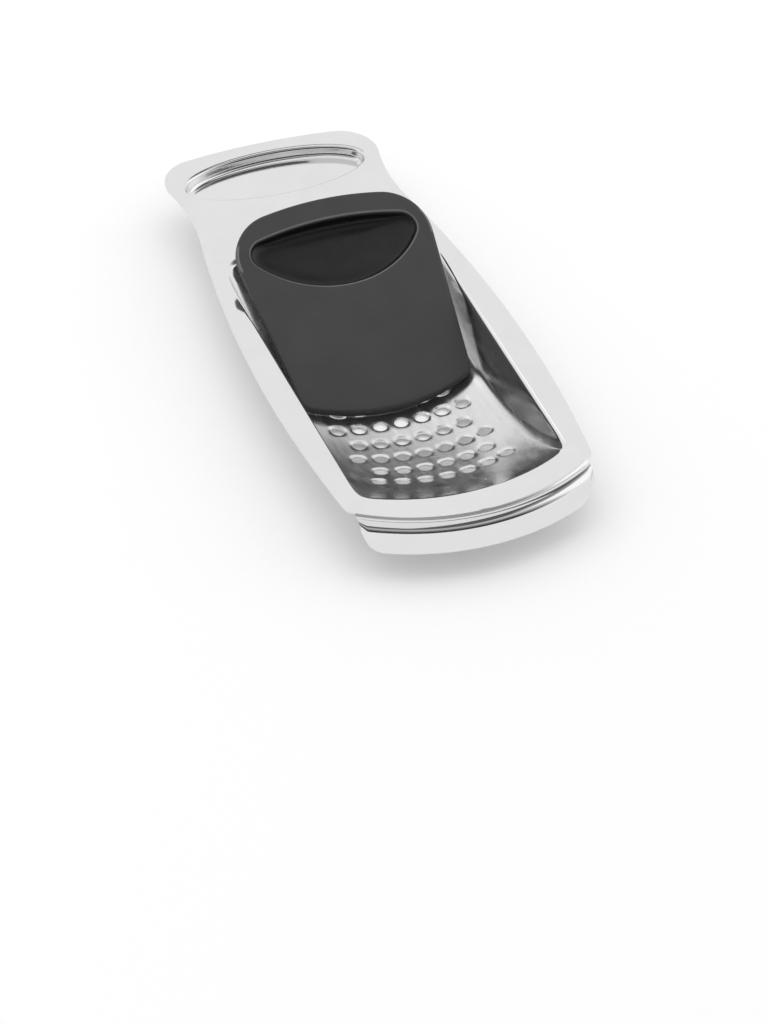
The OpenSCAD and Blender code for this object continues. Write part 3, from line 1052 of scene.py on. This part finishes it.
def times_plus(tree, value, factor, plus):
    """value * factor + plus; each is a number or a socket."""
    inputs = {0: value, 1: factor, 2: plus}
    return add_node(tree, "Math", inputs, operation="MULTIPLY_ADD").outputs["Value"]


def bumped(tree, height, strength, distance):
    """The normal of bumps that are distance high where the height is 1, mixed in by strength."""
    inputs = {"Height": height, "Strength": strength, "Distance": distance}
    return add_node(tree, "Bump", inputs).outputs["Normal"]


def grey(level):
    """A neutral colour from one linear level."""
    return (level, level, level, 1)


# %% [markdown]
# Polished stainless steel has no colour of its own to speak of: it shows the studio. Its look is
# in how sharp that picture is. Buffing leaves hair-fine marks, and handling leaves duller clouds.
# In the trough, the scraper's strokes draw soft streaks along the sheet.

# %% The polished steel
STEEL_LOW, STEEL_HIGH = 0.745, 0.765
STREAK_ROUGHNESS = 0.3
BUFF_STRENGTH, BUFF_HEIGHT = 0.06, 0.1 * MM


def polished_steel():
    """Bright metal with cloudy roughness, fine marks along its length and a duller trough."""
    material, tree, shader, where = new_finish("polished_steel")
    clouds = effect(tree, CLOUDS, where, Scale=45.0)
    rough = effect(tree, CLOUDS, where, Scale=30.0, Low=0.06, High=0.1)
    streaks = effect(tree, GRAIN, where, Scale=260.0, Stretch=12.0)
    marks = effect(tree, GRAIN, where, Scale=1400.0, Stretch=14.0)
    duller = times_plus(tree, streaks, STREAK_ROUGHNESS, 0)
    feed(tree, shader, {
        "Base Color": mixed(tree, clouds, grey(STEEL_LOW), grey(STEEL_HIGH)),
        "Roughness": times_plus(tree, marked(tree, "strokes"), duller, rough),
        "Normal": bumped(tree, marks, BUFF_STRENGTH, BUFF_HEIGHT),
        "Metallic": 1,
    })
    return material


tray.data.materials.append(polished_steel())
print("steel on:", tray.name)

# %% [markdown]
# The scraper is matt plastic with a spark-eroded grain of about a quarter of a millimetre. The
# recess is smoother and darkened with painted shade, and the edge of its rim is smooth and pale
# with a painted highlight. Marks on the mesh's points say where both are, so the finish follows the
# shape.

# %% The charcoal plastic
CHARCOAL_LOW, CHARCOAL_HIGH = 0.042, 0.048
# Painted shade: the dark tone mixed into the recess, which is also smoother.
RECESS_SHADE_TONE, RECESS_SMOOTHER = 0.004, -0.2
# Painted highlight: the pale tone on the rim's edge, which is also smoother.
RIM_HIGHLIGHT_TONE, RIM_HIGHLIGHT_SMOOTHER = 0.14, -0.28
GRAIN_STRENGTH, GRAIN_HEIGHT = 0.2, 0.05 * MM
PLASTIC_SPECULAR = 0.4


def charcoal_plastic():
    """Matt grained plastic; painted shade darkens the recess and a painted highlight pales its rim,
    and both are smoother.
    """
    material, tree, shader, where = new_finish("charcoal_plastic")
    clouds = effect(tree, CLOUDS, where, Scale=25.0)
    tone = mixed(tree, clouds, grey(CHARCOAL_LOW), grey(CHARCOAL_HIGH))
    rough = effect(tree, CLOUDS, where, Scale=60.0, Low=0.46, High=0.58)
    # The recess mark mixes in painted shade and the rim's mark a painted highlight; both also lower
    # the roughness.
    for name, level, smoother in (
        ("recess", RECESS_SHADE_TONE, RECESS_SMOOTHER), ("rim_highlight", RIM_HIGHLIGHT_TONE, RIM_HIGHLIGHT_SMOOTHER)
    ):
        here = marked(tree, name)
        tone = mixed(tree, here, tone, grey(level))
        rough = times_plus(tree, here, smoother, rough)
    grain = effect(tree, GRAIN, where, Scale=3600.0)
    feed(tree, shader, {
        "Base Color": tone, "Roughness": rough, "Specular IOR Level": PLASTIC_SPECULAR,
        "Normal": bumped(tree, grain, GRAIN_STRENGTH, GRAIN_HEIGHT),
    })
    return material


scraper.data.materials.append(charcoal_plastic())
print("plastic on:", scraper.name)

# %% [markdown]
# Each piece takes the place of its CAD node and moves with its body, so the two stay together
# when the scraper's joint turns.

# %% Tie the pieces to the bodies and nodes
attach(tray, "tray")
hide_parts("perforated_tray")
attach(scraper, "scraper")
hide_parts("dough_scraper")

# %% [markdown]
# A plain white studio: a pale floor, a large soft lamp overhead and a fill. Polished metal looks
# like metal only where its surroundings change. So the white walls round the floor end in a dark
# ceiling, against which the lamp shows. On one side the wall is dark from a little over the
# floor's edge, and pales again on its way up to the ceiling.
# Rays from the camera, off metal and through glass all see that one room. Diffuse rays get an
# even level instead, so that a colour renders about as it is written.

# %% Floor, sky and lamps
FLOOR_SIDE = 6
FLOOR_ALBEDO, FLOOR_ROUGHNESS = 0.9, 0.9
NEAR_GLOW, FAR_GLOW, GLOW_FULL_AT = 0.09, 0.31, 2
SKY_DIFFUSE = 0.76
DARK_SIDE = (-0.25, -0.97, 0)
DARK_FROM, DARK_TO = 0.1, 0.7
DARK_TONE, CEILING_TONE = 0.05, 0.12
WHITE_WALLS = ((0.7, 1), (0.78, CEILING_TONE))
DARK_WALL = ((0.07, 1), (0.12, DARK_TONE), (0.3, DARK_TONE), (0.7, 0.55), (0.78, CEILING_TONE))
# Each lamp's name, its place and its side in metres, and its watts
LAMPS = (("overhead", (-0.2, 0.35, 1.5), 1.8, 8), ("side_fill", (1.5, -0.2, 1.0), 1.6, 2))


def shown(tree):
    """1 for rays from the camera, off metal and through glass, which see one background, else 0."""
    path = add_node(tree, "LightPath").outputs
    total = path["Is Camera Ray"]
    for kind in ("Is Glossy Ray", "Is Transmission Ray"):
        add = add_node(tree, "Math", {0: total, 1: path[kind]}, operation="ADD", use_clamp=True)
        total = add.outputs["Value"]
    return total


def blended(tree, share, first, second):
    """A number that goes from first to second with share; each is a number or a socket."""
    return add_node(tree, "Mix", {"Factor": share, "A": first, "B": second}).outputs["Result"]


def by_height(tree, height, stops):
    """A tone that eases from stop to stop as a direction's height goes from 0 to 1."""
    node = add_node(tree, "ValToRGB", {"Fac": height})
    ramp = node.color_ramp
    ramp.interpolation = "EASE"
    while len(ramp.elements) < len(stops):
        ramp.elements.new(1)
    for element, (place, tone) in zip(ramp.elements, stops):
        element.position = place
        element.color = grey(tone)
    return node.outputs["Color"]


def white_floor(height):
    """A level square of matt card that glows, more with distance, to every ray that shows it."""
    corners = np.array([(-1, -1), (1, -1), (1, 1), (-1, 1)]) * FLOOR_SIDE / 2
    mesh = bpy.data.meshes.new("studio_floor")
    mesh.from_pydata([(x, y, height) for x, y in corners], [], [(0, 1, 2, 3)])
    floor = new_object("studio_floor", mesh)
    material, tree, shader, where = new_finish("studio_floor")
    away = add_node(tree, "VectorMath", {0: where}, operation="LENGTH")
    glow = smooth_range(tree, {
        "Value": away.outputs["Value"], "From Max": GLOW_FULL_AT,
        "To Min": NEAR_GLOW, "To Max": FAR_GLOW,
    })
    seen = add_node(tree, "Math", {0: shown(tree), 1: glow}, operation="MULTIPLY")
    feed(tree, shader, {
        "Emission Strength": seen.outputs["Value"], "Emission Color": grey(1),
        "Base Color": grey(FLOOR_ALBEDO), "Roughness": FLOOR_ROUGHNESS, "Specular IOR Level": 0,
    })
    mesh.materials.append(material)


def studio_sky():
    """The walls and ceiling to every ray that shows them, and SKY_DIFFUSE to the others."""
    world = bpy.data.worlds.new("studio_sky")
    world.use_nodes = True
    tree = world.node_tree
    where = add_node(tree, "TexCoord").outputs["Object"]
    height = add_node(tree, "SeparateXYZ", {"Vector": where}).outputs["Z"]
    facing = add_node(tree, "VectorMath", {0: where, 1: DARK_SIDE}, operation="DOT_PRODUCT")
    side = smooth_range(tree, {
        "Value": facing.outputs["Value"], "From Min": DARK_FROM, "From Max": DARK_TO,
    })
    white, dark = [by_height(tree, height, stops) for stops in (WHITE_WALLS, DARK_WALL)]
    room = blended(tree, side, white, dark)
    seen = blended(tree, shown(tree), SKY_DIFFUSE, room)
    feed(tree, tree.nodes["Background"], {"Strength": seen, "Color": grey(1)})
    bpy.context.scene.world = world


def soft_lamp(name, place, side, watts):
    """A square area lamp that faces the middle of the tray."""
    lamp = new_object(name, bpy.data.lights.new(name, "AREA"))
    lamp.data.size = side
    lamp.data.energy = watts
    lamp.location = place
    facing = Vector((0, floor_y, 0)) - Vector(place)
    lamp.rotation_euler = facing.to_track_quat("-Z", "Y").to_euler()


floor_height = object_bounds()[0][2]
white_floor(floor_height)
studio_sky()
for lamp in LAMPS:
    soft_lamp(*lamp)
bpy.context.scene.view_settings.view_transform = "Standard"
print("floor at mm:", round(floor_height / MM, 2))
